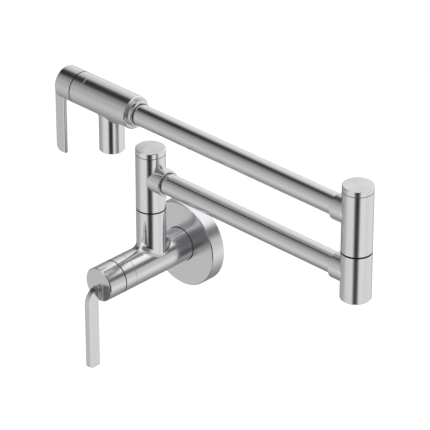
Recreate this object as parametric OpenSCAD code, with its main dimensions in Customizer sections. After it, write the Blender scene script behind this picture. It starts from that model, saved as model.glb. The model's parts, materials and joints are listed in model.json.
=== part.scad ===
// Wall mounted pot filler with two swivel posts, two arms and a quarter-turn valve at each end.
// The origin is the mouth of the inlet on the wall plane.
// -Y points away from the wall, +X along the lower arm, +Z up.

/* [Wall flange] */
// Diameter of the round wall flange
flange_d = 84; // [76:1:96]
// Thickness of the wall flange
flange_t = 15; // [13:0.5:18]
// Thickness of the flange's front wall
flange_wall = 4; // [3:0.5:6]
// Thickness of the flange's rim
flange_rim = 4; // [3:0.5:6]
// Edge break round the flange's front
flange_edge = 0.8; // [0.4:0.1:1.5]

/* [Wall valve] */
// Diameter of the wall barrel, its ring and its hub
wall_barrel_d = 33; // [31:0.5:37]
// Distance of the post axes from the wall
post_out = 53; // [48:1:65]
// Length of the barrel in front of the post axis
wall_front = 35; // [33:1:42]
// Length of the plain ring between the barrel and the hub
wall_ring_len = 13; // [10:0.5:18]
// Length of the wall hub
wall_hub_len = 19.5; // [17:0.1:24]
// Diameter of the tapped inlet bore
inlet_d = 18.3; // [15:0.1:19]
// Depth of the tapped inlet bore
inlet_len = 16; // [12:1:20]

/* [Swivel posts] */
// Diameter of both posts and their caps
post_d = 28; // [27:0.5:30]
// Height of the fixed stub above the barrel axis
stub_top = 54; // [44:1:58]
// Open height of each swivel joint
swivel_gap = 0.9; // [0.6:0.1:1.4]
// Height of the lower arm above the barrel axis
arm_z = 87; // [84:1:96]
// Height of the upper arm above the lower one
arm_rise = 58; // [56:1:70]
// Height of a cap's top above the arm that it stands over
cap_rise = 29; // [27:0.5:34]
// Thickness of a cap
cap_t = 5.6; // [4:0.2:8]
// Depth of the elbow below the lower arm's axis
elbow_drop = 24; // [20:0.5:30]
// Height of the elbow's swivel above the lower arm's axis
elbow_split = 22; // [20:0.5:24]

/* [Arms] */
// Distance between the two post axes
lower_reach = 252; // [180:1:320]
// Distance by which the upper arm is longer than the lower one, so that the spout clears the first post
spout_over = 50.5; // [44:0.5:90]
// Outer diameter of the arm tubes
tube_d = 20; // [18:0.5:21]
// Wall of the arm tubes
tube_wall = 1.2; // [0.8:0.1:2]
// Diameter of the collars where a tube meets a post or a barrel
collar_d = 25; // [24:0.5:27]
// Distance from a post axis to the end of its collar
collar_reach = 22.3; // [19:0.1:30]

/* [Outlet] */
// Diameter of the outlet barrel, its ring and its hub
outlet_d = 31.5; // [30:0.5:36]
// Length of the outlet barrel from the spout axis towards the tube
outlet_back = 32.7; // [28:0.1:38]
// Length of the outlet barrel from the spout axis towards the hub
outlet_front = 27; // [24:0.5:36]
// Length of the plain ring between the outlet barrel and its hub
outlet_ring_len = 12; // [9:0.5:18]
// Length of the outlet hub
outlet_hub_len = 19.4; // [16:0.1:24]
// Length of the collar between the outlet barrel and the tube
outlet_collar_len = 5.1; // [3:0.1:9]
// Diameter of the spout
spout_d = 23.5; // [22.5:0.5:26]
// Depth of the spout's mouth below the upper arm's axis
spout_drop = 49; // [40:0.5:60]

/* [Levers] */
// Width of the wall lever, along its hub's axis
wall_lever_w = 13.4; // [10:0.2:14.4]
// Thickness of the wall lever
wall_lever_t = 5.4; // [3:0.2:7]
// Length of the wall lever below its hub's axis
wall_lever_len = 83; // [60:1:100]
// Radius of the wall lever's lower corner
wall_lever_corner = 4.5; // [2:0.5:8]
// Width of the outlet lever, along its hub's axis
outlet_lever_w = 12; // [9:0.2:13]
// Thickness of the outlet lever
outlet_lever_t = 4; // [3:0.2:6]
// Length of the outlet lever below its hub's axis
outlet_lever_len = 76; // [60:1:95]
// Radius of the outlet lever's lower corner
outlet_lever_corner = 6.5; // [2:0.5:8]
// Gap between a lever and the face of its hub
lever_gap = 1.9; // [1:0.1:3]

/* [Valve cartridges] */
// Diameter of a cartridge's body
cartridge_d = 18; // [17:0.5:19]
// Length of a cartridge's body
cartridge_len = 30; // [26:1:34]
// Diameter of the cavity that holds a cartridge
cavity_d = 22; // [20.5:0.5:23]
// Diameter of a valve stem
stem_d = 8; // [6:0.5:9]
// Distance from a branch's axis back to the cartridge's seat
seat_back = 11; // [10:0.5:13]
// Thickness of a ceramic disc
disc_t = 3; // [2:0.2:4]

/* [Hidden] */
$fn = 96;

// Overrun of every cut past the face that it leaves.
cut = 1;
// Edge breaks: of caps, spout and collars, of a hub's face and the outlet barrel's end, and of seams.
edge_break = 0.5;
face_break = 0.8;
seam_break = 0.15;
// Depth and height of the thin groove under a cap.
cap_groove = 0.4;
cap_groove_h = 0.5;
// Gap between a ring and the hub that turns in front of it.
hub_gap = 0.8;
// Clearance between pieces that turn past each other, of a shaft in its bore, and of loose holes.
turn_gap = 0.1;
running_gap = 0.05;
loose_gap = 0.3;

// Radii that several pieces share.
post_r = post_d / 2;
wall_r = wall_barrel_d / 2;
outlet_r = outlet_d / 2;
cavity_r = cavity_d / 2;
tube_r = tube_d / 2;
stem_r = stem_d / 2;
passage_r = 6;

// Flange: the hole round the barrel, its seal and the gasket on the wall.
flange_hole_gap = 0.5;
flange_seal_cord = 1.8;
gasket_w = 2;
gasket_t = 1;

// Swivel joint: a fixed spigot in a sleeve, held by a clip that sits on the shoulder of the sleeve's chamber.
spigot_r = 9;
spigot_bore_r = 5.5;
spigot_foot_r = 10;
spigot_foot_len = 11;
chamber_r = 12;
chamber_half = 11;
clip_t = 1.2;
clip_r = 11.2;
clip_groove = 0.8;
clip_land = 3;
washer_r = 12.4;
seal_cord = 1.78;
seal_pitch = 7;
seal_first = 6;
cap_plug_len = 6;
cap_seal_drop = 3;
elbow_floor = 3;

// Heights of the swivels, arms and caps.
sleeve_z = stub_top + swivel_gap;
lower_cap_top = arm_z + cap_rise;
lower_cap_z = lower_cap_top - cap_t;
elbow_z = arm_z + elbow_split;
elbow_bottom = arm_z - elbow_drop;
upper_sleeve_z = elbow_z + swivel_gap;
upper_z = arm_z + arm_rise;
upper_cap_top = upper_z + cap_rise;
upper_cap_z = upper_cap_top - cap_t;
upper_reach = lower_reach + spout_over;
spout_x = -spout_over;

// Blend where a post or spout grows out of a barrel.
tee_blend = 8;
spout_blend = 4;
blend_sink = 0.05;
blend_inset = 1.5;

// Cartridge: measured from its seat towards the hub.
cup_r = 7.7;
fixed_disc_r = 7.65;
moving_disc_r = 7.5;
disc_hole_r = 2.2;
disc_hole_at = 4;
stem_head_r = 6.9;
stem_head_t = 2.4;
cup_len = 15;
window_w = 8;
window_z = 8;
window_h = 6;
cartridge_flange = 8;
stem_grip = 10;
hub_bore_end = 0.5;
set_screw_r = 2;
set_screw_drop = 1.5;
set_screw_from_back = 6;

// Levers: a flat blade with one round shoulder, and a short neck let into the hub.
lever_top = 0.7;
lever_bend = 15;
lever_neck_top = 1.4;
lever_neck_h = 5;
lever_foot = 5;
lever_round = 1.2;
lever_edge = 0.3;

// Recess in a collar's end, round its tube.
collar_recess = 0.4;
collar_recess_len = 1;

// Outlet: the tube's socket, the spout's bore and the aerator in its mouth.
socket_len = 12;
spout_bore_r = 8;
aerator_r = 10;
aerator_len = 11;
aerator_recess = 0.5;
aerator_bore_r = 7.6;
insert_t = 5;
insert_hole_r = 0.7;
insert_ring_share = 0.36;

// Distances along each valve's axis, from the wall or from the spout axis.
wall_seat = post_out - seat_back;
wall_seam = post_out + wall_front;
wall_hub_back = wall_seam + wall_ring_len + hub_gap;
outlet_seat = -seat_back;
outlet_hub_back = outlet_front + outlet_ring_len + hub_gap;

// Places: local +Z runs along the valve's axis towards the hub, and local -X points down.
module on_wall_axis() {
    rotate([90, 0, 0])
        rotate([0, 0, 90])
            children();
}

module on_outlet_axis() {
    translate([spout_x, -post_out, upper_z])
        rotate([0, -90, 0])
            children();
}

module on_post() {
    translate([0, -post_out, 0])
        children();
}

module on_elbow() {
    translate([lower_reach, -post_out, 0])
        children();
}

// Local +Z runs along an arm, from the first post towards the elbow.
module on_arm(z) {
    translate([0, -post_out, z])
        rotate([0, 90, 0])
            children();
}

module turned(outline) {
    rotate_extrude()
        polygon(outline);
}

module rod(r, z0, z1) {
    translate([0, 0, z0])
        cylinder(r = r, h = z1 - z0);
}

module pipe(r_out, r_in, z0, z1) {
    difference() {
        rod(r_out, z0, z1);
        rod(r_in, z0 - cut, z1 + cut);
    }
}

module torus(r_ring, r_cord, z) {
    translate([0, 0, z])
        rotate_extrude()
            translate([r_ring, 0])
                circle(r = r_cord, $fn = 24);
}

// A rolling ball's path between a stem along +Z and a run along X, as one ring of curved cross-sections.
function ball_centre(stem_r, run_r, ball_r, a) =
    let (d = stem_r + ball_r, y = d * sin(a))
    [d * cos(a), y, sqrt(pow(run_r + ball_r, 2) - y * y)];

function ball_arc(c, p, q, ball_r, n) =
    let (u = (p - c) / ball_r, v = (q - c) / ball_r, w = acos(u * v))
    [for (i = [0 : n]) c + ball_r * (sin(w * (1 - i / n)) * u + sin(w * i / n) * v) / sin(w)];

function blend_section(stem_r, run_r, ball_r, a, n) =
    let (c = ball_centre(stem_r, run_r, ball_r, a),
         p = [stem_r * cos(a), stem_r * sin(a), c[2]],
         k = run_r / (run_r + ball_r),
         q = [c[0], c[1] * k, c[2] * k],
         s = stem_r - blend_inset,
         foot = [s * cos(a), s * sin(a), sqrt(run_r * run_r - pow(stem_r * sin(a), 2)) - blend_inset])
    concat(ball_arc(c, p, q, ball_r, n), [foot]);

module blend(stem_r, run_r, ball_r, turns = 60, n = 6) {
    m = n + 2;
    step = 360 / turns;
    points = [for (i = [0 : turns - 1])
        each blend_section(stem_r - blend_sink, run_r - blend_sink, ball_r, step * i, n)];
    faces = [for (i = [0 : turns - 1], j = [0 : m - 1], half = [0, 1])
        let (a = i * m + j, b = i * m + (j + 1) % m, c = ((i + 1) % turns) * m + j,
             d = ((i + 1) % turns) * m + (j + 1) % m)
        half == 0 ? [a, c, b] : [b, c, d]];
    polyhedron(points = points, faces = faces, convexity = 4);
}

// Wall flange, with its seal and gasket.
module wall_flange() {
    r = flange_d / 2;
    hole_r = wall_r + flange_hole_gap;
    seal_r = wall_r + flange_seal_cord;
    seal_z = flange_t - flange_wall / 2;
    color("silver")
        on_wall_axis()
            difference() {
                turned([[hole_r, flange_t - flange_wall], [r - flange_rim, flange_t - flange_wall],
                    [r - flange_rim, gasket_t], [r - flange_rim + gasket_w, gasket_t],
                    [r - flange_rim + gasket_w, 0], [r, 0], [r, flange_t - flange_edge],
                    [r - flange_edge, flange_t], [hole_r, flange_t]]);
                rod(seal_r, seal_z - flange_seal_cord / 2, seal_z + flange_seal_cord / 2);
            }
}

module flange_gasket() {
    inner = flange_d / 2 - flange_rim;
    color("dimgray")
        on_wall_axis()
            pipe(inner + gasket_w, inner, 0, gasket_t);
}

module flange_oring() {
    color("black")
        on_wall_axis()
            torus(wall_r + flange_seal_cord / 2, flange_seal_cord / 2, flange_t - flange_wall / 2);
}

// Fixed body: the barrel from the wall to the ring, and the stub that carries the first swivel.
module tee_body() {
    color("silver")
        difference() {
            union() {
                on_wall_axis()
                    turned([[0, 0], [wall_r, 0], [wall_r, wall_seam - seam_break],
                        [wall_r - seam_break, wall_seam], [0, wall_seam]]);
                on_post() {
                    rod(post_r, 0, stub_top);
                    rotate([0, 0, 90])
                        blend(post_r, wall_r, tee_blend);
                }
            }
            on_wall_axis() {
                rod(inlet_d / 2, -cut, inlet_len);
                rod(passage_r, 0, wall_seat + cut);
                rod(cavity_r, wall_seat, wall_seam + cut);
            }
            on_post() {
                rod(passage_r, 0, stub_top);
                rod(spigot_foot_r, stub_top - spigot_foot_len, stub_top + cut);
            }
        }
}

// Ring and neck that close a valve: the neck presses on the cartridge.
module bonnet(r, seat, seam, ring_len) {
    color("silver")
        difference() {
            union() {
                rod(cavity_r, seat + cartridge_len, seam);
                turned([[0, seam], [r - seam_break, seam], [r, seam + seam_break],
                    [r, seam + ring_len - seam_break], [r - seam_break, seam + ring_len],
                    [0, seam + ring_len]]);
            }
            rod(stem_r + loose_gap, seat, seam + ring_len + cut);
        }
}

module wall_bonnet() {
    on_wall_axis()
        bonnet(wall_r, wall_seat, wall_seam, wall_ring_len);
}

// Cartridge body from its seat up: the cup of the discs, two windows and the stem's guide.
module cartridge(seat) {
    color("goldenrod")
        translate([0, 0, seat])
            difference() {
                union() {
                    rod(cartridge_d / 2, 0, cartridge_len);
                    rod(cavity_r, cartridge_len - cartridge_flange, cartridge_len);
                }
                rod(cup_r, -cut, cup_len);
                rod(stem_r + running_gap, 0, cartridge_len + cut);
                translate([-cavity_d / 2, -window_w / 2, window_z])
                    cube([cavity_d, window_w, window_h]);
            }
}

module wall_cartridge() {
    on_wall_axis()
        cartridge(wall_seat);
}

// Ceramic disc with two round ports, at the given turn.
module ceramic_disc(r, z, turn) {
    color("ivory")
        translate([0, 0, z])
            rotate([0, 0, turn])
                difference() {
                    cylinder(r = r, h = disc_t);
                    for (side = [-1, 1])
                        translate([side * disc_hole_at, 0, -cut])
                            cylinder(r = disc_hole_r, h = disc_t + 2 * cut);
                }
}

module wall_fixed_disc() {
    on_wall_axis()
        ceramic_disc(fixed_disc_r, wall_seat, 0);
}

// Spigot of a swivel: a foot in the lower piece, then the bearing length with two seal grooves
// and a clip groove.
module spigot(seam, shoulder) {
    top = shoulder + loose_gap + clip_t + clip_land;
    clip_z = shoulder + loose_gap;
    groove_r = spigot_r - seal_cord;
    color("goldenrod")
        difference() {
            union() {
                rod(spigot_foot_r, seam - spigot_foot_len, seam);
                rod(spigot_r, seam, top);
            }
            rod(spigot_bore_r, seam - spigot_foot_len - cut, top + cut);
            for (i = [0, 1])
                pipe(spigot_r + cut, groove_r, seam + seal_first + i * seal_pitch - seal_cord / 2,
                    seam + seal_first + i * seal_pitch + seal_cord / 2);
            pipe(spigot_r + cut, spigot_r - clip_groove, clip_z, clip_z + clip_t);
        }
}

module spigot_orings(seam) {
    color("black")
        for (i = [0, 1])
            torus(spigot_r - seal_cord / 2, seal_cord / 2, seam + seal_first + i * seal_pitch);
}

// Split ring in the spigot's top groove, above the shoulder of the sleeve's chamber.
module clip(shoulder) {
    z = shoulder + loose_gap;
    color("gray")
        difference() {
            pipe(clip_r, spigot_r - clip_groove, z, z + clip_t);
            translate([0, -spigot_r / 4, z - cut])
                cube([clip_r + cut, spigot_r / 2, clip_t + 2 * cut]);
        }
}

module swivel_washer(seam) {
    color("darkslategray")
        pipe(washer_r, spigot_r, seam, seam + swivel_gap - loose_gap);
}

module post_spigot() {
    on_post()
        spigot(stub_top, arm_z - chamber_half);
}

module post_orings() {
    on_post()
        spigot_orings(stub_top);
}

module post_clip() {
    on_post()
        clip(arm_z - chamber_half);
}

module post_washer() {
    on_post()
        swivel_washer(stub_top);
}

// Hub with a bore for the stem, a slot for the lever's neck and a hole for the set screw.
module hub(r, back, len, lever_t) {
    face = back + len;
    color("silver")
        difference() {
            turned([[0, back], [r - seam_break, back], [r, back + seam_break], [r, face - face_break],
                [r - face_break, face], [0, face]]);
            rod(stem_r, back - cut, back + stem_grip + hub_bore_end);
            translate([-lever_neck_top - lever_neck_h, -lever_t / 2, face - lever_foot])
                cube([lever_neck_h, lever_t, lever_foot + cut]);
            translate([0, 0, back + set_screw_from_back])
                rotate([0, -90, 0])
                    cylinder(r = set_screw_r, h = r + cut);
        }
}

// Side view of a lever: x is the height above the hub's axis and y the distance in front of the hub's face.
module lever_side(w, len, corner) {
    bend_x = -lever_top - lever_bend;
    out = lever_gap + w;
    translate([-lever_neck_top - lever_neck_h, -lever_foot])
        square([lever_neck_h, lever_foot + lever_gap + lever_round]);
    intersection() {
        translate([bend_x, out - lever_bend])
            circle(r = lever_bend);
        translate([bend_x, lever_gap])
            square([lever_bend, w]);
    }
    difference() {
        translate([-len, lever_gap])
            square([len + bend_x, w]);
        translate([-len, out - corner])
            difference() {
                translate([-cut, 0])
                    square([corner + cut, corner + cut]);
                translate([corner, 0])
                    circle(r = corner);
                translate([corner, -corner])
                    square([corner, 2 * corner]);
            }
    }
}

// Cross-section of a lever: x is the distance in front of the hub's face. The edges near the hub are round.
module lever_section(w, t) {
    out = lever_gap + w;
    translate([-lever_foot, -t / 2])
        square([lever_foot + lever_gap, t]);
    translate([lever_gap + lever_round, -t / 2])
        square([w - lever_round - lever_edge, t]);
    translate([lever_gap, -t / 2 + lever_round])
        square([lever_round, t - 2 * lever_round]);
    translate([out - lever_edge, -t / 2 + lever_edge])
        square([lever_edge, t - 2 * lever_edge]);
    for (side = [-1, 1]) {
        translate([lever_gap + lever_round, side * (t / 2 - lever_round)])
            circle(r = lever_round, $fn = 32);
        translate([out - lever_edge, side * (t / 2 - lever_edge)])
            circle(r = lever_edge, $fn = 16);
    }
}

module lever(face, w, t, len, corner) {
    color("silver")
        translate([0, 0, face])
            intersection() {
                translate([0, t / 2, 0])
                    rotate([90, 0, 0])
                        linear_extrude(height = t)
                            lever_side(w, len, corner);
                rotate([0, -90, 0])
                    translate([0, 0, -cut])
                        linear_extrude(height = len + 2 * cut)
                            lever_section(w, t);
            }
}

module set_screw(r, back) {
    color("gray")
        translate([0, 0, back + set_screw_from_back])
            rotate([0, -90, 0])
                translate([0, 0, stem_r])
                    cylinder(r = set_screw_r, h = r - stem_r - set_screw_drop);
}

// Stem with the head that turns the moving disc.
module stem(seat, back) {
    head = seat + 2 * disc_t + turn_gap;
    color("goldenrod") {
        rod(stem_head_r, head, head + stem_head_t);
        rod(stem_r, head + stem_head_t, back + stem_grip);
    }
}

module moving_disc(seat) {
    ceramic_disc(moving_disc_r, seat + disc_t + turn_gap, 90);
}

module wall_hub() {
    on_wall_axis()
        hub(wall_r, wall_hub_back, wall_hub_len, wall_lever_t);
}

module wall_lever() {
    on_wall_axis()
        lever(wall_hub_back + wall_hub_len, wall_lever_w, wall_lever_t, wall_lever_len, wall_lever_corner);
}

module wall_set_screw() {
    on_wall_axis()
        set_screw(wall_r, wall_hub_back);
}

module wall_stem() {
    on_wall_axis()
        stem(wall_seat, wall_hub_back);
}

module wall_moving_disc() {
    on_wall_axis()
        moving_disc(wall_seat);
}

// Swivel sleeve from its seam up: bearing bore, chamber and the port for one tube, at the given turn.
module sleeve(z0, z_arm, z1, turn) {
    color("silver")
        difference() {
            turned([[0, z0], [post_r - seam_break, z0], [post_r, z0 + seam_break], [post_r, z1], [0, z1]]);
            rod(spigot_r + running_gap, z0 - cut, z1);
            rod(chamber_r, z_arm - chamber_half, z1 + cut);
            rotate([0, 0, turn])
                translate([0, 0, z_arm])
                    rotate([0, 90, 0])
                        rod(tube_r, 0, post_d);
        }
}

// Cap with a plug, a seal groove and a thin groove under its rim.
module cap(z0) {
    top = z0 + cap_t;
    groove_r = chamber_r - seal_cord;
    seal_z = z0 - cap_seal_drop;
    color("silver")
        difference() {
            turned([[0, z0 - cap_plug_len], [chamber_r, z0 - cap_plug_len], [chamber_r, z0],
                [post_r - cap_groove, z0], [post_r - cap_groove, z0 + cap_groove_h],
                [post_r, z0 + cap_groove_h], [post_r, top - edge_break], [post_r - edge_break, top],
                [0, top]]);
            pipe(chamber_r + cut, groove_r, seal_z - seal_cord / 2, seal_z + seal_cord / 2);
        }
}

module cap_oring(z0) {
    color("black")
        torus(chamber_r - seal_cord / 2, seal_cord / 2, z0 - cap_seal_drop);
}

// Collar of a tube at a post: it starts on the post's side and ends with an edge break
// and a recess round the tube.
module collar() {
    r = collar_d / 2;
    difference() {
        rotate([0, 90, 0])
            difference() {
                turned([[0, 0], [r, 0], [r, collar_reach - edge_break], [r - edge_break, collar_reach],
                    [0, collar_reach]]);
                rod(tube_r, -cut, collar_reach + cut);
                rod(tube_r + collar_recess, collar_reach - collar_recess_len, collar_reach + cut);
            }
        rod(post_r, -collar_d, collar_d);
    }
}

module lower_sleeve() {
    on_post()
        sleeve(sleeve_z, arm_z, lower_cap_z, 0);
}

module lower_cap() {
    on_post()
        cap(lower_cap_z);
}

module lower_cap_oring() {
    on_post()
        cap_oring(lower_cap_z);
}

module lower_collar() {
    color("silver")
        translate([0, -post_out, arm_z])
            collar();
}

module lower_tube() {
    color("silver")
        difference() {
            on_arm(arm_z)
                pipe(tube_r, tube_r - tube_wall, 0, lower_reach);
            on_post()
                rod(chamber_r, 0, upper_z);
            on_elbow()
                rod(chamber_r, 0, upper_z);
        }
}

module elbow_lower_collar() {
    color("silver")
        translate([lower_reach, -post_out, arm_z])
            rotate([0, 0, 180])
                collar();
}

// Lower half of the elbow: closed below, with the seat of the upper swivel's spigot.
module elbow_lower_housing() {
    color("silver")
        on_elbow()
            difference() {
                turned([[0, elbow_bottom], [post_r - edge_break, elbow_bottom],
                    [post_r, elbow_bottom + edge_break], [post_r, elbow_z - seam_break],
                    [post_r - seam_break, elbow_z], [0, elbow_z]]);
                rod(chamber_r, elbow_bottom + elbow_floor, elbow_z - spigot_foot_len);
                rod(spigot_foot_r, elbow_bottom + elbow_floor, elbow_z + cut);
                translate([0, 0, arm_z])
                    rotate([0, -90, 0])
                        rod(tube_r, 0, post_d);
            }
}

module elbow_spigot() {
    on_elbow()
        spigot(elbow_z, upper_z - chamber_half);
}

module elbow_orings() {
    on_elbow()
        spigot_orings(elbow_z);
}

module elbow_clip() {
    on_elbow()
        clip(upper_z - chamber_half);
}

module elbow_washer() {
    on_elbow()
        swivel_washer(elbow_z);
}

module elbow_upper_housing() {
    on_elbow()
        sleeve(upper_sleeve_z, upper_z, upper_cap_z, 180);
}

module elbow_cap() {
    on_elbow()
        cap(upper_cap_z);
}

module elbow_cap_oring() {
    on_elbow()
        cap_oring(upper_cap_z);
}

module elbow_upper_collar() {
    color("silver")
        translate([lower_reach, -post_out, upper_z])
            rotate([0, 0, 180])
                collar();
}

module upper_tube() {
    color("silver")
        difference() {
            on_outlet_axis()
                pipe(tube_r, tube_r - tube_wall, -upper_reach, -outlet_back + socket_len);
            on_elbow()
                rod(chamber_r, elbow_z, upper_cap_top);
        }
}

module outlet_collar() {
    r = collar_d / 2;
    z = -outlet_back - outlet_collar_len;
    color("silver")
        on_outlet_axis()
            difference() {
                turned([[0, z], [r - edge_break, z], [r, z + edge_break], [r, -outlet_back],
                    [0, -outlet_back]]);
                rod(tube_r, z - cut, -outlet_back + cut);
                rod(tube_r + collar_recess, z - cut, z + collar_recess_len);
            }
}

// Outlet barrel with its spout, the tube's socket, the valve's cavity and the aerator's seat.
module outlet_body() {
    mouth = -spout_drop;
    color("silver")
        difference() {
            union() {
                on_outlet_axis()
                    turned([[0, -outlet_back], [outlet_r - face_break, -outlet_back],
                        [outlet_r, -outlet_back + face_break], [outlet_r, outlet_front - seam_break],
                        [outlet_r - seam_break, outlet_front], [0, outlet_front]]);
                translate([spout_x, -post_out, upper_z]) {
                    turned([[0, mouth], [spout_d / 2 - edge_break, mouth], [spout_d / 2, mouth + edge_break],
                        [spout_d / 2, 0], [0, 0]]);
                    mirror([0, 0, 1])
                        blend(spout_d / 2, outlet_r, spout_blend);
                }
            }
            on_outlet_axis() {
                rod(tube_r, -outlet_back - cut, -outlet_back + socket_len);
                rod(passage_r, -outlet_back, outlet_seat + cut);
                rod(cavity_r, outlet_seat, outlet_front + cut);
            }
            translate([spout_x, -post_out, upper_z]) {
                rod(spout_bore_r, mouth - cut, 0);
                rod(aerator_r, mouth - cut, mouth + aerator_len);
            }
        }
}

module outlet_bonnet() {
    on_outlet_axis()
        bonnet(outlet_r, outlet_seat, outlet_front, outlet_ring_len);
}

module outlet_cartridge() {
    on_outlet_axis()
        cartridge(outlet_seat);
}

module outlet_fixed_disc() {
    on_outlet_axis()
        ceramic_disc(fixed_disc_r, outlet_seat, 0);
}

module aerator_shell() {
    color("gray")
        translate([spout_x, -post_out, upper_z - spout_drop])
            pipe(aerator_r, aerator_bore_r, aerator_recess, aerator_len);
}

// Stream straightener: one middle hole and two rings of holes.
module aerator_insert() {
    top = aerator_len;
    color("whitesmoke")
        translate([spout_x, -post_out, upper_z - spout_drop])
            difference() {
                rod(aerator_bore_r, top - insert_t, top);
                for (ring = [0 : 2])
                    for (i = [0 : max(6 * ring, 1) - 1])
                        rotate([0, 0, 360 * i / max(6 * ring, 1)])
                            translate([ring * insert_ring_share * aerator_bore_r, 0, top - insert_t - cut])
                                cylinder(r = insert_hole_r, h = insert_t + 2 * cut, $fn = 16);
            }
}

module outlet_hub() {
    on_outlet_axis()
        hub(outlet_r, outlet_hub_back, outlet_hub_len, outlet_lever_t);
}

module outlet_lever() {
    on_outlet_axis()
        lever(outlet_hub_back + outlet_hub_len, outlet_lever_w, outlet_lever_t, outlet_lever_len,
            outlet_lever_corner);
}

module outlet_set_screw() {
    on_outlet_axis()
        set_screw(outlet_r, outlet_hub_back);
}

module outlet_stem() {
    on_outlet_axis()
        stem(outlet_seat, outlet_hub_back);
}

module outlet_moving_disc() {
    on_outlet_axis()
        moving_disc(outlet_seat);
}

wall_flange();
flange_gasket();
flange_oring();
tee_body();
wall_bonnet();
wall_cartridge();
wall_fixed_disc();
post_spigot();
post_orings();
post_clip();
post_washer();
wall_hub();
wall_lever();
wall_set_screw();
wall_stem();
wall_moving_disc();
lower_sleeve();
lower_cap();
lower_cap_oring();
lower_collar();
lower_tube();
elbow_lower_collar();
elbow_lower_housing();
elbow_spigot();
elbow_orings();
elbow_clip();
elbow_washer();
elbow_upper_housing();
elbow_cap();
elbow_cap_oring();
elbow_upper_collar();
upper_tube();
outlet_collar();
outlet_body();
outlet_bonnet();
outlet_cartridge();
outlet_fixed_disc();
aerator_shell();
aerator_insert();
outlet_hub();
outlet_lever();
outlet_set_screw();
outlet_stem();
outlet_moving_disc();
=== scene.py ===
# %% [markdown]
# A wall mounted pot filler in brushed stainless steel: a round flange, a valve on the wall, two
# jointed arms and a second valve over the spout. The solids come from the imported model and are
# exact in size and place. This lesson lights them, gives each one the finish that the real piece
# has, and adds what a lathe, a tap or a press leaves behind. Every length is in metres, apart
# from names that end in _mm.

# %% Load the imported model
import json
import math

import bpy
from mathutils import Matrix, Vector


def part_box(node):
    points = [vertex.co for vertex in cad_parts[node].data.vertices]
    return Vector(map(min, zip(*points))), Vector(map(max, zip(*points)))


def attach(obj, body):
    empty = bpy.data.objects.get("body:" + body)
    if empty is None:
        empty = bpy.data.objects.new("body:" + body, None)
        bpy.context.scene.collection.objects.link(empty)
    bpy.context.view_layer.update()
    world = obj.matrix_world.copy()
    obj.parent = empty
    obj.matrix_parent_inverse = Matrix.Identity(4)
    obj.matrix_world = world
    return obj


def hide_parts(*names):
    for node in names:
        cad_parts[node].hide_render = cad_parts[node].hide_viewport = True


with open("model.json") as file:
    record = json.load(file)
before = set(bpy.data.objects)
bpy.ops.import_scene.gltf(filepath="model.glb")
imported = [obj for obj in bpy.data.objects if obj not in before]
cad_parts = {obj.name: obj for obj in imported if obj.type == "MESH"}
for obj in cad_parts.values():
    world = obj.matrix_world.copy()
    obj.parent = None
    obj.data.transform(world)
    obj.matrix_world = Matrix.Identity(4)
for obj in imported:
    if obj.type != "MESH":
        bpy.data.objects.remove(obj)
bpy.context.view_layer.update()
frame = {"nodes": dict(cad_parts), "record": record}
nodes = frame["nodes"]

# %% [markdown]
# The photograph was taken from the right, at about 44 degrees, and from above, at about 29 degrees,
# with a long lens from nearly three metres away. A camera can be aimed at a target, but here its
# three directions are written down, because the picture is then framed in plain words: a small
# step aside and one above bring the middle of the object into the middle of the picture. The
# focal length was found in pixels of the picture, so it is turned to millimetres on the sensor.

# %% Camera
def toward(azimuth_deg, elevation_deg):
    """A direction in the room: azimuth 0 is straight out from the wall, 90 is to the right."""
    a, e = math.radians(azimuth_deg), math.radians(elevation_deg)
    return Vector((math.sin(a) * math.cos(e), -math.cos(a) * math.cos(e), math.sin(e)))


azimuth_deg, elevation_deg = 44.29, 29.3
distance, aside, above = 2.925, 0.02163, 0.02129
focal_px, picture_px, sensor_mm = 3123.73, 430, 36.0
back = toward(azimuth_deg, elevation_deg)
right = toward(azimuth_deg + 90, 0)
up = back.cross(right)

bpy.ops.object.camera_add()
camera = bpy.context.object
camera.name = "photo_camera"
turn = Matrix((right, up, back)).transposed().to_4x4()
camera.matrix_world = Matrix.Translation(back * distance + right * aside + up * above) @ turn
camera.data.sensor_width = sensor_mm
camera.data.lens = focal_px / picture_px * sensor_mm
camera.data.clip_start, camera.data.clip_end = 0.05, 50.0
bpy.context.scene.camera = camera
bpy.context.scene.view_settings.view_transform = "Standard"
print("camera at", tuple(round(c, 3) for c in camera.location))

# %% [markdown]
# Colours are written as the hex values that an eye picks from a screen, and one function turns
# them to the linear values that shaders need. A second one adds a node, sets its values and links
# its inputs in one line, so that a material reads from top to bottom like a recipe. An input is
# named with _ for each space, or with _ and its number where several inputs share one name.

# %% Helpers for colour and nodes
def linear(hex_colour):
    parts = [int(hex_colour[i:i + 2], 16) / 255 for i in (1, 3, 5)]
    return [c / 12.92 if c <= 0.04045 else ((c + 0.055) / 1.055) ** 2.4 for c in parts] + [1.0]


def add(tree, kind, settings=None, **inputs):
    """Adds a node. Each input is a value, or a socket to link."""
    node = tree.nodes.new(kind)
    for name, value in (settings or {}).items():
        setattr(node, name, value)
    for name, value in inputs.items():
        numbered = name[0] == "_" and name[1:].isdigit()
        socket = node.inputs[int(name[1:]) if numbered else name.replace("_", " ")]
        if isinstance(value, bpy.types.NodeSocket):
            tree.links.new(value, socket)
        else:
            socket.default_value = value
    return node


def new_material(name):
    material = bpy.data.materials.new(name)
    material.use_nodes = True
    material.node_tree.nodes.clear()
    return material, material.node_tree


print("a middle grey on the screen is", round(linear("#808080")[0], 3), "in linear light")

# %% [markdown]
# The background is plain white paper. It lies half a metre below the arms, so the shadow that it
# catches stays below the picture. A little light of its own, seen by the camera alone, lifts the
# paper to white, and no lamp has to be stronger for it. Metal doesn't mirror the paper: what it
# sees below is the bench of the room that comes next.

# %% Floor
floor_size, floor_height = 16.0, -0.5
paper, paper_lift = "#EFEFEF", 0.3


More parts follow.
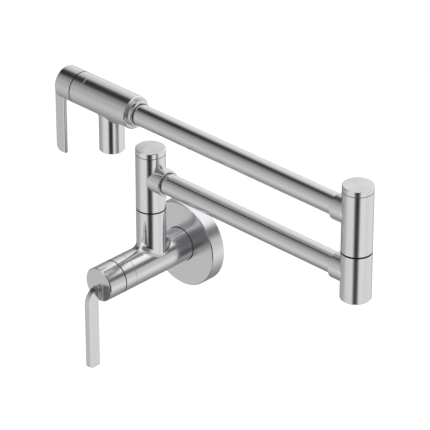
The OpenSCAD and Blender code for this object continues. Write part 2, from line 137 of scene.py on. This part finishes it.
def floor_material():
    material, tree = new_material("studio_floor")
    sheet = add(tree, "ShaderNodeBsdfDiffuse", Color=linear(paper))
    rays = add(tree, "ShaderNodeLightPath")
    unlit = add(tree, "ShaderNodeEmission", Color=linear("#000000"))
    lift = add(tree, "ShaderNodeEmission", Color=linear("#FFFFFF"), Strength=paper_lift)
    seen = add(tree, "ShaderNodeMixShader", _0=rays.outputs["Is Camera Ray"],
               _1=unlit.outputs[0], _2=lift.outputs[0])
    total = add(tree, "ShaderNodeAddShader", _0=sheet.outputs[0], _1=seen.outputs[0])
    add(tree, "ShaderNodeOutputMaterial", Surface=total.outputs[0])
    return material


bpy.ops.mesh.primitive_plane_add(size=floor_size, location=(0, 0, floor_height))
floor = bpy.context.object
floor.name = "studio_floor"
floor.data.materials.append(floor_material())
floor.visible_glossy = False
print("floor at z =", floor.location.z)

# %% [markdown]
# Brushed metal is only as good as what it mirrors. This studio is a white room over a darker
# bench, and soft black cards hang in it. Each card is a round patch on the room's sphere: a
# direction, the angle up to which it is darkest, the angle at which it has faded out, and its
# depth. A curved piece mirrors only the directions on one cone round its own axis, so each card
# works on few pieces, and its place was worked back from a dark stripe in the photograph.
#
# The first draws the bold stripe down each post, the second the stripe along both arms, and the
# fourth the stripe along the wall barrel. The fifth has a depth below zero: it is a lamp behind
# the wall's edge, and it whitens the flange's rim. The tenth darkens the tops of the caps. The
# eleventh lies straight behind the object, where every round piece mirrors it at its outline, and
# draws the fine grey edge there. The last stands where the camera stands, and darkens the
# barrel's image in the flange's face. The others shade the flanks of the round pieces.

# %% Cards in the room
cards = [  # direction (azimuth, elevation), darkest up to, gone at, depth
    ((38, -17), 11, 29, 0.97),
    ((-85, 45), 3, 24, 0.89),
    ((-77, 13), 30, 64, 0.55),
    ((135, 22), 2, 16, 0.84),
    ((152, 52), 8, 34, -0.06),
    ((-78, 46), 14, 42, 0.41),
    ((-107, 6), 8, 34, 0.70),
    ((-86, -87), 24, 80, 0.60),
    ((112, 12), 9, 48, 0.42),
    ((-136, 29), 5, 20, 0.15),
    ((-136, -29), 12, 46, 0.45),
    ((44, 29), 16, 50, 0.82),
]
bench, ceiling = (-0.874, 0.70), (-0.661, 1.14)  # height on the room's sphere, light
print("cards:", len(cards), "light from", bench[1], "to", ceiling[1])

# %% [markdown]
# The room could be built from real walls and cards, but a world shader does the same and gives
# each card one soft edge. The dot product of a ray and a card's direction is the cosine of the
# angle between them, and each card multiplies the light by the part that it lets through. The
# camera itself sees plain white.

# %% Room light
world = bpy.data.worlds.new("studio_room")
bpy.context.scene.world = world
world.use_nodes = True
room = world.node_tree
room.nodes.clear()
direction = add(room, "ShaderNodeTexCoord").outputs["Generated"]
height = add(room, "ShaderNodeSeparateXYZ", Vector=direction).outputs["Z"]
light = add(room, "ShaderNodeMapRange", {"interpolation_type": "SMOOTHSTEP"}, Value=height,
            _1=bench[0], _2=ceiling[0], _3=bench[1], _4=ceiling[1]).outputs[0]
for place, darkest, gone, depth in cards:
    near = add(room, "ShaderNodeVectorMath", {"operation": "DOT_PRODUCT"},
               _0=direction, _1=toward(*place))
    left = add(room, "ShaderNodeMapRange", {"interpolation_type": "SMOOTHSTEP"},
               Value=near.outputs["Value"], _1=math.cos(math.radians(gone)),
               _2=math.cos(math.radians(darkest)), _3=1.0, _4=1.0 - depth)
    light = add(room, "ShaderNodeMath", {"operation": "MULTIPLY"},
                _0=light, _1=left.outputs[0]).outputs[0]
rays = add(room, "ShaderNodeLightPath")
white = add(room, "ShaderNodeBackground", Color=linear("#FFFFFF"), Strength=1.0)
walls = add(room, "ShaderNodeBackground", Color=linear("#FFFFFF"), Strength=light)
both = add(room, "ShaderNodeMixShader", _0=rays.outputs["Is Camera Ray"],
           _1=walls.outputs[0], _2=white.outputs[0])
add(room, "ShaderNodeOutputWorld", Surface=both.outputs[0])
print("room nodes:", len(room.nodes))

# %% [markdown]
# Two large soft lamps light what isn't metal, such as the paper, the rubber and the plastic.
# The steel doesn't mirror them, because it takes its light from the room, and a lamp would stand
# in it as a bright square that the photograph doesn't show.

# %% Lamps
middle_of_arms = Vector((0.08, -0.05, 0.05))


def soft_lamp(name, place, side, power):
    bpy.ops.object.light_add(type="AREA", location=place)
    lamp = bpy.context.object
    lamp.name = name
    lamp.data.size = side
    lamp.data.energy = power
    lamp.rotation_euler = (middle_of_arms - Vector(place)).to_track_quat("-Z", "Y").to_euler()
    lamp.visible_glossy = False


soft_lamp("key_lamp", (-1.2, -1.6, 2.0), 1.6, 22)
soft_lamp("fill_lamp", (1.8, -0.9, 1.4), 1.4, 12)

# %% [markdown]
# Nearly all the metal that shows is stainless steel, a pale grey, brushed with an abrasive pad. Its
# scratches spread a reflection across themselves and leave it crisp along themselves. They could be
# cut in the mesh, but a bump of a twentieth of a millimetre bends the light in the same way. The
# scratches tint the metal a little, because their floors hold less light, and a broad, weak noise
# varies the roughness, as handling does. On a small disc that is brushed in rings, a bump is too
# coarse. There the shader's own stretch, turned with the rings, makes the wedges of light that such
# a disc shows.

# %% Shader of brushed steel
scratch_floor, scratch_crest, scratch_depth = "#D8D8DA", "#E4E4E6", 0.00005
smear_mm, smear = 28.6, 0.05  # patches that handling leaves: their width, the roughness they add
usual = {"_1": 0.3, "_2": 0.7}  # a noise seldom leaves this range


def steel_shader(tree, place, scratches, rough, stretch=0.0):
    tone = add(tree, "ShaderNodeMix", {"data_type": "RGBA"}, _0=scratches,
               _6=linear(scratch_floor), _7=linear(scratch_crest))
    broad = add(tree, "ShaderNodeTexNoise", Vector=place, Scale=1000 / smear_mm, Detail=3.0)
    finish = add(tree, "ShaderNodeMapRange", Value=broad.outputs["Fac"], **usual,
                 _3=rough, _4=rough + smear)
    bump = add(tree, "ShaderNodeBump", Height=scratches, Strength=0.12, Distance=scratch_depth)
    steel = add(tree, "ShaderNodeBsdfPrincipled", Base_Color=tone.outputs[2], Metallic=1.0,
                Roughness=finish.outputs[0], Normal=bump.outputs[0], Anisotropic=stretch)
    if stretch:
        rings = add(tree, "ShaderNodeTangent", {"direction_type": "RADIAL", "axis": "Z"})
        tree.links.new(rings.outputs[0], steel.inputs["Tangent"])
    add(tree, "ShaderNodeOutputMaterial", Surface=steel.outputs[0])


print("steel:", [round(c, 2) for c in linear(scratch_crest)[:3]], "smears:", smear_mm, "mm")

# %% [markdown]
# A turned piece is brushed while it spins, so its scratches are rings round its own axis. The
# pattern is a noise read at (distance from the axis, place along it), and so it makes rings on a
# side and on an end alike. Real scratches are about 0.1 mm wide; these are 0.5 mm, so that they
# show. Each group of pieces that shares an axis shares a steel. The polished arms and posts are
# the brightest, the wall valve is brushed a little coarser, and the flange most of all.

# %% Turned steel
arms_y, elbow_x, spout_x, lower_z, upper_z = -0.053, 0.252, -0.0505, 0.087, 0.145
wall_axis, post_axis, elbow_axis = (0, 0, 0), (0, arms_y, 0), (elbow_x, arms_y, 0)
lower_axis, upper_axis = (0, arms_y, lower_z), (0, arms_y, upper_z)
spout_axis = (spout_x, arms_y, 0)


def turned_steel(name, centre, axis, rough=0.11, ring_mm=0.5, stretch=0.0):
    """Fine rings round one axis, and with them a stripe of light that runs along it."""
    material, tree = new_material(name)
    turn = {"X": (0.0, -math.pi / 2, 0.0), "Y": (math.pi / 2, 0.0, 0.0), "Z": (0.0, 0.0, 0.0)}
    place = add(tree, "ShaderNodeTexCoord").outputs["Object"]
    centred = add(tree, "ShaderNodeMapping", Vector=place, Location=[-c for c in centre])
    turned = add(tree, "ShaderNodeMapping", Vector=centred.outputs[0], Rotation=turn[axis])
    split = add(tree, "ShaderNodeSeparateXYZ", Vector=turned.outputs[0])
    flat = add(tree, "ShaderNodeCombineXYZ", X=split.outputs[0], Y=split.outputs[1])
    radius = add(tree, "ShaderNodeVectorMath", {"operation": "LENGTH"}, _0=flat.outputs[0])
    rings = add(tree, "ShaderNodeCombineXYZ", X=radius.outputs["Value"], Y=split.outputs[2])
    fine = add(tree, "ShaderNodeTexNoise", Vector=rings.outputs[0], Scale=1000 / ring_mm,
               Detail=2.0)
    steel_shader(tree, turned.outputs[0], fine.outputs["Fac"], rough, stretch)
    return material


steels = {
    "flange": turned_steel("steel_flange", wall_axis, "Y", rough=0.2),
    "wall": turned_steel("steel_turned_wall", wall_axis, "Y", rough=0.16),
    "post": turned_steel("steel_turned_post", post_axis, "Z"),
    "elbow": turned_steel("steel_turned_elbow", elbow_axis, "Z"),
    "lower": turned_steel("steel_lower_arm", lower_axis, "X"),
    "upper": turned_steel("steel_upper_arm", upper_axis, "X"),
    "spout": turned_steel("steel_turned_spout", spout_axis, "Z"),
}
print("turned steels:", ", ".join(steels))

# %% [markdown]
# The levers are flat, and a belt brushes them along their length. Their lines are the same noise,
# stretched to 25 mm in height. A reflection on them is spread from side to side.

# %% Steel of the levers
def drawn_steel(name, rough=0.16, line_mm=0.5, run_mm=25):
    """Fine upright lines, which soften every reflection sideways."""
    material, tree = new_material(name)
    place = add(tree, "ShaderNodeTexCoord").outputs["Object"]
    long = add(tree, "ShaderNodeMapping", Vector=place,
               Scale=(1000 / line_mm, 1000 / line_mm, 1000 / run_mm))
    fine = add(tree, "ShaderNodeTexNoise", Vector=long.outputs[0], Scale=1.0, Detail=2.0)
    steel_shader(tree, place, fine.outputs["Fac"], rough)
    return material


steels["lever"] = drawn_steel("steel_lever")
print("lever steel nodes:", len(steels["lever"].node_tree.nodes))

# %% [markdown]
# No pad reaches into a seam, so the steel there is dull. It is painted near black, as painted shade
# for the light that a seam holds back, in patches of about a millimetre. It is this painted shade
# that makes a joint between two bright pieces read as a joint.

# %% Steel with painted shade for the seams
def painted_seam_shade_steel(name, patch_mm=1.1):
    """Painted shade: nearly black and rough, with a faint grey where the steel comes through."""
    material, tree = new_material(name)
    place = add(tree, "ShaderNodeTexCoord").outputs["Object"]
    patches = add(tree, "ShaderNodeTexNoise", Vector=place, Scale=1000 / patch_mm, Detail=3.0)
    tone = add(tree, "ShaderNodeMix", {"data_type": "RGBA"}, _0=patches.outputs["Fac"],
               _6=linear("#1B1B1C"), _7=linear("#39393B"))
    steel = add(tree, "ShaderNodeBsdfPrincipled", Base_Color=tone.outputs[2], Metallic=0.5,
                Roughness=0.6)
    add(tree, "ShaderNodeOutputMaterial", Surface=steel.outputs[0])
    return material


steels["seam"] = painted_seam_shade_steel("steel_with_painted_seam_shade")
print("steels:", len(steels))

# %% [markdown]
# A finer piece starts as a copy of its solid, so that its place and size are right from the start.
# A solid is loose triangles: its points are merged and its flat faces made whole, which gives the
# edges that a bevel can find. The copy then rides on the solid's body and stands in its place.
# Each modifier is applied at once, so the finished mesh is what is seen.

# %% Helpers for finer copies
sharp_from = math.radians(30)  # an edge that turns by more than this is a real edge
same_point, same_plane = 1e-6, math.radians(0.2)
body_of = {node: body for body, names in frame["record"]["behaviour"]["bodies"].items()
           for node in names}
slot_of = {part["node"]: part["material_slot"] for part in frame["record"]["subparts"]}


def only(piece):
    bpy.ops.object.select_all(action="DESELECT")
    piece.select_set(True)
    bpy.context.view_layer.objects.active = piece


def apply_modifier(piece, kind, **settings):
    modifier = piece.modifiers.new(kind.lower(), kind)
    for name, value in settings.items():
        setattr(modifier, name, value)
    only(piece)
    bpy.ops.object.modifier_apply(modifier=modifier.name)


def copy_of(node, name):
    piece = bpy.data.objects.new(name, nodes[node].data.copy())
    bpy.context.scene.collection.objects.link(piece)
    only(piece)
    bpy.ops.object.mode_set(mode="EDIT")
    bpy.ops.mesh.select_all(action="SELECT")
    bpy.ops.mesh.remove_doubles(threshold=same_point)
    bpy.ops.mesh.dissolve_limited(angle_limit=same_plane)
    bpy.ops.mesh.normals_make_consistent(inside=False)
    bpy.ops.object.mode_set(mode="OBJECT")
    return piece


def stands_for(piece, node, materials):
    piece.data.materials.clear()
    for material in materials:
        piece.data.materials.append(material)
    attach(piece, body_of[node])
    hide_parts(node)


# %% [markdown]
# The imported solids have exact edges. On the real piece a pad has rounded each one by about a tenth
# of a millimetre, and that is the fine line of light that follows every rim. A bevel of two rows
# makes it. Curved sides are then shaded smooth, and weighted normals keep the large faces flat up
# to their rims.

# %% Rounded copies of the steel solids
pad_edge = 0.00012


def bevelled(piece, width):
    apply_modifier(piece, "BEVEL", width=width, segments=2, limit_method="ANGLE",
                   angle_limit=sharp_from)


def smooth(piece, angle=sharp_from):
    only(piece)
    bpy.ops.object.shade_smooth_by_angle(angle=angle)
    apply_modifier(piece, "WEIGHTED_NORMAL", keep_sharp=True, weight=80)


def rounded(node, steel):
    piece = copy_of(node, node + "_rounded")
    bevelled(piece, pad_edge)
    smooth(piece)
    # each copy gets the steel with painted seam shade as its second material
    stands_for(piece, node, [steels[steel], steels["seam"]])
    for face in piece.data.polygons:
        face.material_index = 0
    return piece


wear = {  # the steel that each solid is brushed to
    "wall_flange": "flange", "tee_body": "wall", "wall_bonnet": "wall", "wall_hub": "wall",
    "lower_sleeve": "post", "lower_cap": "post", "elbow_lower_housing": "elbow",
    "elbow_upper_housing": "elbow", "elbow_cap": "elbow", "lower_tube": "lower",
    "lower_collar": "lower", "elbow_lower_collar": "lower", "upper_tube": "upper",
    "elbow_upper_collar": "upper", "outlet_collar": "upper", "outlet_body": "upper",
    "outlet_bonnet": "upper", "outlet_hub": "upper", "wall_lever": "lever"}
steel_pieces = {node: rounded(node, steel) for node, steel in wear.items()}
print("rounded copies:", {n: len(p.data.polygons) for n, p in steel_pieces.items()})

# %% [markdown]
# The rims of both swivel seams, and of the joint behind the wall valve's ring, flare a little
# towards the outside, as a pad leaves them. A bevel would round their inner rims too, so only the
# outer rims are moved, by up to a quarter of a millimetre. A point is found by its distance from
# the piece's axis and its place along it.

# %% Seams that open towards the outside
def about(axis, centre, point):
    """(distance from the axis, place along it) of a point."""
    i = "XYZ".index(axis)
    across = [point[k] - centre[k] for k in range(3) if k != i]
    return math.hypot(*across), point[i]


flared_rims = [  # piece, axis, centre, place of the rim, what is farther out moves, and how far
    ("tee_body", "Z", post_axis, 0.054, 0.0132, -0.00025),
    ("lower_sleeve", "Z", post_axis, 0.0549, 0.0132, 0.00025),
    ("elbow_lower_housing", "Z", elbow_axis, 0.109, 0.0132, -0.00025),
    ("elbow_upper_housing", "Z", elbow_axis, 0.1099, 0.0132, 0.00025),
    ("wall_bonnet", "Y", wall_axis, -0.088, 0.0160, -0.00015),
]
rim_height = 0.0002
for node, axis, centre, place, inside, by in flared_rims:
    moved = 0
    for vertex in steel_pieces[node].data.vertices:
        r, h = about(axis, centre, vertex.co)
        if r > inside and abs(h - place) < rim_height:
            vertex.co["XYZ".index(axis)] += by
            moved += 1
    smooth(steel_pieces[node])
    print(node, "points moved:", moved)

# %% [markdown]
# Faces that lie deep in a seam take the steel with painted shade. They could be chosen by hand,
# but a table of places says which joint each row belongs to and still holds after a new pack. A
# face takes the painted shade when all its points lie within a row's distance from the axis and
# between its two places.

# %% Painted shade on the faces in the seams
seams = [  # piece, axis, centre, farthest from the axis, lowest and highest place along it
    # slits in front of both valve rings, and the joint behind the wall valve's
    ("wall_bonnet", "Y", wall_axis, 0.0166, -0.1011, -0.1008),
    ("wall_hub", "Y", wall_axis, 0.0166, -0.1020, -0.1017),
    ("outlet_bonnet", "X", upper_axis, 0.0158, -0.0896, -0.0893),
    ("outlet_hub", "X", upper_axis, 0.0158, -0.0905, -0.0902),
    ("wall_bonnet", "Y", wall_axis, 0.0166, -0.0884, -0.0879),
    # hole of the flange
    ("wall_flange", "Y", wall_axis, 0.0175, -0.1, 0.0),
    # grooves under the caps
    ("lower_cap", "Z", post_axis, 0.0139, 0.1103, 0.11095),
    ("elbow_cap", "Z", elbow_axis, 0.0139, 0.1683, 0.16895),
    ("lower_sleeve", "Z", post_axis, 0.0139, 0.1103, 0.1105),
    ("elbow_upper_housing", "Z", elbow_axis, 0.0139, 0.1683, 0.1685),
    # seams of the swivels
    ("tee_body", "Z", post_axis, 0.0141, 0.0535, 0.0541),
    ("lower_sleeve", "Z", post_axis, 0.0141, 0.0548, 0.0554),
    ("elbow_lower_housing", "Z", elbow_axis, 0.0141, 0.1085, 0.1091),
    ("elbow_upper_housing", "Z", elbow_axis, 0.0141, 0.1098, 0.1104),
]
# the second material of each rounded copy is the steel with painted seam shade
painted_shade_index = 1  # each rounded copy has the seam steel as its second material
darkened = 0
for node, axis, centre, far, low, high in seams:
    mesh = steel_pieces[node].data
    for face in mesh.polygons:
        spots = [about(axis, centre, mesh.vertices[v].co) for v in face.vertices]
        if all(r <= far and low <= h <= high for r, h in spots):
            face.material_index = painted_shade_index
            darkened += 1
print("faces in a seam:", darkened)

# %% [markdown]
# The stub on the wall barrel and the spout under the outlet barrel are turned about their own
# axes, although each is one casting with its barrel. What stands out of the barrel therefore takes
# the steel with rings round its own axis.

# %% Stub and spout
for node, steel, axis, centre, barrel_r in [("tee_body", "post", "Y", wall_axis, 0.0167),
                                            ("outlet_body", "spout", "X", upper_axis, 0.0159)]:
    mesh = steel_pieces[node].data
    mesh.materials.append(steels[steel])
    changed = 0
    for face in mesh.polygons:
        if face.material_index != painted_shade_index and about(axis, centre, face.center)[0] > barrel_r:
            face.material_index = len(mesh.materials) - 1
            changed += 1
    print(node, "faces about its branch:", changed)

# %% [markdown]
# A lathe faces the end of the outlet barrel and of each collar, and no polishing pad reaches into
# the corner beside the tube. Those rings stay duller than the sides, so they hardly mirror the
# tube that stands on them. The tops of both caps are discs brushed in rings, which show soft wedges
# of light and shade round their middle. So the first cap, which lies under the upper arm, is
# shaded on one side.

# %% Faced ends and cap tops
steels["post_top"] = turned_steel("steel_post_top", post_axis, "Z", rough=0.22, stretch=0.85)
steels["elbow_top"] = turned_steel("steel_elbow_top", elbow_axis, "Z", rough=0.22, stretch=0.85)
steels["lower_end"] = turned_steel("steel_faced_lower_arm", lower_axis, "X", rough=0.36)
steels["upper_end"] = turned_steel("steel_faced_upper_arm", upper_axis, "X", rough=0.36)

tube_side = 0.0099  # a faced ring lies wholly outside its tube, a cap's top reaches its axis
edge_drop = 0.0003  # a face that a rounded edge has pulled down is still part of the end
faced = [  # piece, its steel, axis, centre, nearest to the axis, place along it
    ("outlet_body", "upper_end", "X", upper_axis, tube_side, -0.0178),
    ("outlet_collar", "upper_end", "X", upper_axis, tube_side, -0.0127),
    ("elbow_upper_collar", "upper_end", "X", upper_axis, tube_side, 0.2297),
    ("lower_collar", "lower_end", "X", lower_axis, tube_side, 0.0223),
    ("elbow_lower_collar", "lower_end", "X", lower_axis, tube_side, 0.2297),
    ("lower_cap", "post_top", "Z", post_axis, 0.0, 0.116),
    ("elbow_cap", "elbow_top", "Z", elbow_axis, 0.0, 0.174),
]
for node, steel, axis, centre, nearest, place in faced:
    mesh = steel_pieces[node].data
    mesh.materials.append(steels[steel])
    changed = 0
    for face in mesh.polygons:
        square_on = abs(face.normal["XYZ".index(axis)]) > 0.9
        spots = [about(axis, centre, mesh.vertices[v].co) for v in face.vertices]
        if square_on and all(r > nearest and abs(h - place) < edge_drop for r, h in spots):
            face.material_index = len(mesh.materials) - 1
            changed += 1
    print(node, "faced:", changed)

# %% [markdown]
# The outlet lever's edge towards its hub is a full half round, and it shows the low front card as
# one dark line beside the flat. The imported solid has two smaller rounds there. Each point of those
# is moved outwards at the same angle onto the half round; the two points in the middle then meet
# and are merged.

# %% Half round edge of the outlet lever
blade_top = 0.1375  # just under the neck
packed_round, half_thick = 0.0012, 0.002
hair = 1e-5


def half_round(piece, rear):
    """rear is the edge's place along X, and the round bulges to +X."""
    for vertex in piece.data.vertices:
        depth, side = rear - vertex.co.x, vertex.co.y - arms_y
        if -hair < depth < packed_round + hair and vertex.co.z < blade_top:
            over = max(abs(side) - (half_thick - packed_round), 0.0)
            angle = math.atan2(over, max(packed_round - depth, 0.0))
            vertex.co.x = rear - half_thick * (1 - math.cos(angle))
            vertex.co.y = arms_y + math.copysign(half_thick * math.sin(angle), side)


lever = copy_of("outlet_lever", "outlet_lever_half_round")
hub_to_blade = 0.0019
half_round(lever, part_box("outlet_hub")[0][0] - hub_to_blade)
only(lever)
bpy.ops.object.mode_set(mode="EDIT")
bpy.ops.mesh.select_all(action="SELECT")
bpy.ops.mesh.remove_doubles(threshold=2 * same_point)
bpy.ops.object.mode_set(mode="OBJECT")
smooth(lever, math.radians(35))
stands_for(lever, "outlet_lever", [steels["lever"]])
print("outlet lever faces:", len(lever.data.polygons))

# %% [markdown]
# The small parts keep their solids and take the material that such a part has. Each is written
# from what the real one shows: rubber that drinks light, brass with a lathe's sheen, ceramic lapped
# to a mirror. One noise gives each its grain, between two colours and two roughnesses. The real
# grains are finer than a tenth of a millimetre; these are 1 to 4 mm, so that they show.

# %% Materials of the small parts
grain_depth = 0.0001


def grained(name, low, high, grain_mm, rough, bump=0.0, **shader):
    material, tree = new_material(name)
    place = add(tree, "ShaderNodeTexCoord").outputs["Object"]
    grain = add(tree, "ShaderNodeTexNoise", Vector=place, Scale=1000 / grain_mm, Detail=4.0)
    tone = add(tree, "ShaderNodeMix", {"data_type": "RGBA"}, _0=grain.outputs["Fac"],
               _6=linear(low), _7=linear(high))
    finish = add(tree, "ShaderNodeMapRange", Value=grain.outputs["Fac"], **usual,
                 _3=rough[0], _4=rough[1])
    relief = add(tree, "ShaderNodeBump", Height=grain.outputs["Fac"], Strength=bump,
                 Distance=grain_depth)
    stuff = add(tree, "ShaderNodeBsdfPrincipled", Base_Color=tone.outputs[2],
                Roughness=finish.outputs[0], Normal=relief.outputs[0], **shader)
    add(tree, "ShaderNodeOutputMaterial", Surface=stuff.outputs[0])
    return material


small = {
    # black seal rubber: nearly no reflection, a grey bloom where it was handled
    "seal_rubber": grained("seal_rubber_black", "#2A2A2B", "#3C3C3E", 1.43, (0.55, 0.75), 0.3),
    # machined brass: a warm yellow with softer, browner patches where it has tarnished
    "brass": grained("brass_machined", "#B98F45", "#D9B56A", 3.85, (0.22, 0.34), 0.1, Metallic=1.0),
    # alumina ceramic, lapped flat: an even ivory with a sharp, colourless shine
    "ceramic": grained("ceramic_lapped", "#E3DFD4", "#EFECE3", 2.0, (0.08, 0.14)),
    # black bearing plastic: dull with a faint grain of its filler
    "bearing_plastic": grained("bearing_plastic_black", "#121213", "#1E1E20", 1.11, (0.45, 0.6),
                               0.2),
    # spring steel as it comes from the rolls: greyer and duller than the brushed pieces
    "small_steel": grained("spring_steel_plain", "#8A8A8C", "#A6A6A8", 1.67, (0.28, 0.42), 0.1,
                           Metallic=1.0),
    # chrome plate on the aerator: nearly a mirror, a little blue
    "chrome": grained("chrome_plate", "#CDD0D4", "#D8DADD", 3.33, (0.05, 0.09), Metallic=1.0),
    # white moulded plastic: a soft skin shine over a slightly uneven surface
    "white_plastic": grained("white_plastic_moulded", "#D9D9D4", "#E6E6E2", 2.5, (0.35, 0.45), 0.1),
}
for node, slot in slot_of.items():
    if slot in small:
        nodes[node].data.materials.clear()
        nodes[node].data.materials.append(small[slot])
        for face in nodes[node].data.polygons:
            face.material_index = 0
print("small parts:", sum(slot in small for slot in slot_of.values()))

# %% [markdown]
# The wall screws into the inlet, so its bore is tapped. One ridge winds along the bore at the
# pitch of a half inch pipe thread, 14 turns to the inch. It starts as a small triangle, pressed a
# little into the wall of the bore, and the screw modifier winds it. The spin operator would make
# closed rings, and a bump in the material wouldn't show at the bore's mouth.

# %% Thread in the inlet
def wind(piece, axis, rise, turns, steps):
    """Winds a section round an axis, closes its ends and turns its faces outwards."""
    apply_modifier(piece, "SCREW", axis=axis, angle=2 * math.pi, screw_offset=rise,
                   iterations=turns, steps=steps, render_steps=steps, use_merge_vertices=True,
                   merge_threshold=1e-7)
    bpy.ops.object.mode_set(mode="EDIT")
    bpy.ops.mesh.select_all(action="SELECT")
    bpy.ops.mesh.fill_holes(sides=3)
    bpy.ops.mesh.normals_make_consistent(inside=False)
    bpy.ops.object.mode_set(mode="OBJECT")


bore_r, crest, pitch, turns, start_y = 0.00915, 0.0007, 0.001814, 7, -0.0014
root_r, half_foot = bore_r + 0.0001, 0.46 * pitch  # pressed into the wall, nearly a pitch wide
bpy.ops.object.select_all(action="DESELECT")
bpy.ops.mesh.primitive_circle_add(vertices=3, radius=crest)
thread = bpy.context.object
thread.name = "inlet_thread"
corners = [(root_r, -half_foot), (root_r, half_foot), (bore_r - crest, 0.0)]
for vertex, (r, along) in zip(thread.data.vertices, corners):
    vertex.co = (r, start_y + along, 0.0)
wind(thread, "Y", -pitch, turns, 48)
bpy.ops.object.shade_smooth_by_angle(angle=sharp_from)
thread.data.materials.append(steels["wall"])
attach(thread, "wall_body")
print("thread faces:", len(thread.data.polygons), "from", thread.bound_box[0][:])

# %% [markdown]
# Each hub holds its stem with a set screw from below. A screw shows a hexagon socket and the
# rounded rim round it. The socket is cut with a six sided bar, 2 mm across its flats. An inset face
# pushed inwards would do as well, but a bar gives the socket the key's own size.

# %% Sockets of the set screws
key_flats, key_length, screw_edge = 0.002, 0.005, 0.0003


def cut_with(piece, cutter):
    apply_modifier(piece, "BOOLEAN", operation="DIFFERENCE", solver="EXACT", object=cutter)
    bpy.data.objects.remove(cutter, do_unlink=True)


for node in ("wall_set_screw", "outlet_set_screw"):
    low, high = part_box(node)
    middle = (low + high) / 2
    screw = copy_of(node, node + "_with_socket")
    bevelled(screw, screw_edge)
    bpy.ops.object.select_all(action="DESELECT")
    bpy.ops.mesh.primitive_cylinder_add(vertices=6, radius=key_flats / math.sqrt(3),
                                        depth=key_length, location=(middle.x, middle.y, low.z))
    key = bpy.context.object
    bpy.ops.object.transform_apply(location=True, rotation=True, scale=True)
    cut_with(screw, key)
    smooth(screw)
    stands_for(screw, node, [small["small_steel"]])
    print(screw.name, len(screw.data.polygons))

# %% [markdown]
# Water leaves through the aerator. Its chrome shell is screwed in with a key that grips two slots
# in the rim, so one flat bar across the shell cuts both at once.

# %% Shell of the aerator
slot_length, slot_width, slot_height, shell_edge = 0.03, 0.0022, 0.0026, 0.00015
low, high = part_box("aerator_shell")
middle = (low + high) / 2
shell = copy_of("aerator_shell", "aerator_shell_slotted")
bpy.ops.object.select_all(action="DESELECT")
bpy.ops.mesh.primitive_cube_add(size=1.0, location=(middle.x, middle.y, low.z))
slot_bar = bpy.context.object
slot_bar.scale = (slot_length, slot_width, slot_height)
bpy.ops.object.transform_apply(location=True, rotation=True, scale=True)
cut_with(shell, slot_bar)
bevelled(shell, shell_edge)
smooth(shell)
stands_for(shell, "aerator_shell", [small["chrome"]])
print("aerator shell:", len(shell.data.polygons))

# %% [markdown]
# A fine wire screen lies just under the holes of the white insert and breaks the water up. It
# starts as a flat grid. Its corners are pulled in to a circle, and the wireframe modifier turns
# each of its edges into a wire.

# %% Screen of the aerator
screen_r, grid_size, wire, under_insert = 0.0075, 0.0153, 0.0003, 0.0003
bpy.ops.object.select_all(action="DESELECT")
bpy.ops.mesh.primitive_grid_add(x_subdivisions=17, y_subdivisions=17, size=grid_size)
screen = bpy.context.object
screen.name = "aerator_screen"
screen_place = Vector((middle.x, middle.y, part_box("aerator_insert")[0].z - under_insert))
for vertex in screen.data.vertices:
    reach = math.hypot(vertex.co.x, vertex.co.y)
    if reach > screen_r:
        vertex.co *= screen_r / reach
    vertex.co += screen_place
apply_modifier(screen, "WIREFRAME", thickness=wire, use_even_offset=False)
screen.data.materials.append(small["small_steel"])
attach(screen, "upper_arm")
print("aerator screen:", len(screen.data.polygons))

# %% [markdown]
# A thin ring of black rubber sits in the recess between each tube and the collar that holds it.
# It is painted shade: a dark thing put where a fine line of shadow runs round the tube beside the
# collar. A torus would be a plain ring, while this one is pressed a little longer along the tube.
# So its section is a small circle, stretched that way, and it is wound once round the tube's axis,
# as the thread was but with no rise. The spin operator makes the same ring, but lists its faces in
# another order on each run. The ring is modelled at the origin and copied to its four places.

# %% Dark rings of painted shade round the tubes
# each ring of black rubber is painted shade beside a collar's rim
painted_shade_ring_r, on_tube, pressed = 0.00021, 0.0102, 1.4
painted_shade_ring_places = {  # body that carries the lip, and the lip's place along X and Z
    "lower_collar_painted_shade": ("lower_arm", 0.0224, lower_z),
    "elbow_lower_painted_shade": ("lower_arm", 0.2296, lower_z),
    "elbow_upper_painted_shade": ("upper_arm", 0.2296, upper_z),
    "outlet_collar_painted_shade": ("upper_arm", -0.0126, upper_z),
}
bpy.ops.object.select_all(action="DESELECT")
bpy.ops.mesh.primitive_circle_add(vertices=10, radius=painted_shade_ring_r, location=(0, 0, on_tube),
                                  rotation=(math.pi / 2, 0, 0))
bpy.ops.object.transform_apply(location=True, rotation=True, scale=True)
first_painted_shade_ring = bpy.context.object
bpy.ops.object.mode_set(mode="EDIT")
bpy.ops.mesh.select_all(action="SELECT")
bpy.ops.transform.resize(value=(pressed, 1, 1))
bpy.ops.object.mode_set(mode="OBJECT")
wind(first_painted_shade_ring, "X", 0.0, 1, 96)
bpy.ops.object.shade_smooth()
# black rubber, put where the collar's rim casts a line of shade on the tube
first_painted_shade_ring.data.materials.append(small["seal_rubber"])
for name, (body, x, z) in painted_shade_ring_places.items():
    painted_shade_ring = bpy.data.objects.new(name, first_painted_shade_ring.data.copy())
    bpy.context.scene.collection.objects.link(painted_shade_ring)
    painted_shade_ring.data.transform(Matrix.Translation((x, arms_y, z)))
    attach(painted_shade_ring, body)
    print(name, len(painted_shade_ring.data.polygons), "from", [round(c, 5) for c in painted_shade_ring.bound_box[0]])
bpy.data.objects.remove(first_painted_shade_ring, do_unlink=True)
